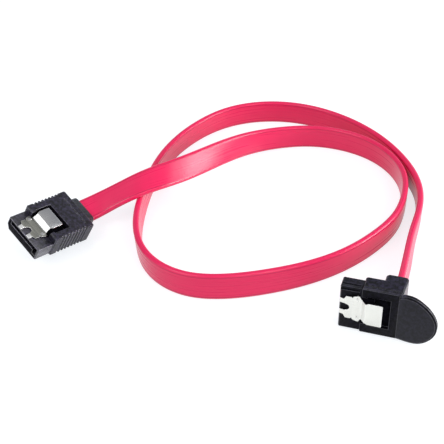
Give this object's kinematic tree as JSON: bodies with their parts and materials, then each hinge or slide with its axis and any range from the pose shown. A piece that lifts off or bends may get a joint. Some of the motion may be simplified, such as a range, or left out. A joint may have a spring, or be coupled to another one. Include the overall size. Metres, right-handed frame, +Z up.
{
  "type": "serial data cable",
  "caption": "Flat ribbon data cable with a straight latching plug on one end and a right-angle latching plug with a pull tab on the other.",
  "frame": {"origin": "on the floor under the middle of the two plugs, halfway between their outer faces", "axes": "+X from the straight plug towards the right-angle plug, +Y away from the viewer towards the far loop of the ribbon, +Z up from the floor"},
  "size_m": [0.133, 0.1277, 0.0161],
  "materials": {
    "nose_plastic": "fine satin moulding, near black",
    "grip_plastic": "fine grained moulding, near black",
    "relief_plastic": "satin moulding, near black",
    "clip_steel": "bright rolled spring steel",
    "contact_gold": "gold plated",
    "wire_insulation": "pale foamed insulation",
    "drain_copper": "tinned",
    "ribbon_jacket": "soft satin jacket, pinkish red"
  },
  "bodies": {
    "cable": {"ribbon_cable": "ribbon_jacket", "straight_nose": "nose_plastic", "straight_grip": "grip_plastic", "straight_relief": "relief_plastic", "angle_nose": "nose_plastic", "angle_grip": "grip_plastic", "straight_contact_1": "contact_gold", "straight_contact_2": "contact_gold", "straight_contact_3": "contact_gold", "straight_contact_4": "contact_gold", "straight_contact_5": "contact_gold", "straight_contact_6": "contact_gold", "straight_contact_7": "contact_gold", "straight_wire_1": "drain_copper", "straight_wire_2": "wire_insulation", "straight_wire_3": "wire_insulation", "straight_wire_4": "drain_copper", "straight_wire_5": "wire_insulation", "straight_wire_6": "wire_insulation", "straight_wire_7": "drain_copper", "angle_contact_1": "contact_gold", "angle_contact_2": "contact_gold", "angle_contact_3": "contact_gold", "angle_contact_4": "contact_gold", "angle_contact_5": "contact_gold", "angle_contact_6": "contact_gold", "angle_contact_7": "contact_gold", "angle_wire_1": "drain_copper", "angle_wire_2": "wire_insulation", "angle_wire_3": "wire_insulation", "angle_wire_4": "drain_copper", "angle_wire_5": "wire_insulation", "angle_wire_6": "wire_insulation", "angle_wire_7": "drain_copper"},
    "straight_latch": {"straight_clip": "clip_steel"},
    "angle_latch": {"angle_clip": "clip_steel"}
  },
  "joints": [
    {"name": "straight_latch_press", "type": "hinge", "parent": "cable", "child": "straight_latch", "pos_m": [-0.05606, 0.00838, 0.01187], "axis": [-0.6576, 0.6288, 0.415], "range_deg": [0, 2.5], "stiffness_Nm_per_rad": 0.8},
    {"name": "angle_latch_press", "type": "hinge", "parent": "cable", "child": "angle_latch", "pos_m": [0.03691, -0.02147, 0.00828], "axis": [-0.0163, 0.0393, 0.9991], "range_deg": [0, 2.5], "stiffness_Nm_per_rad": 0.8}
  ]
}
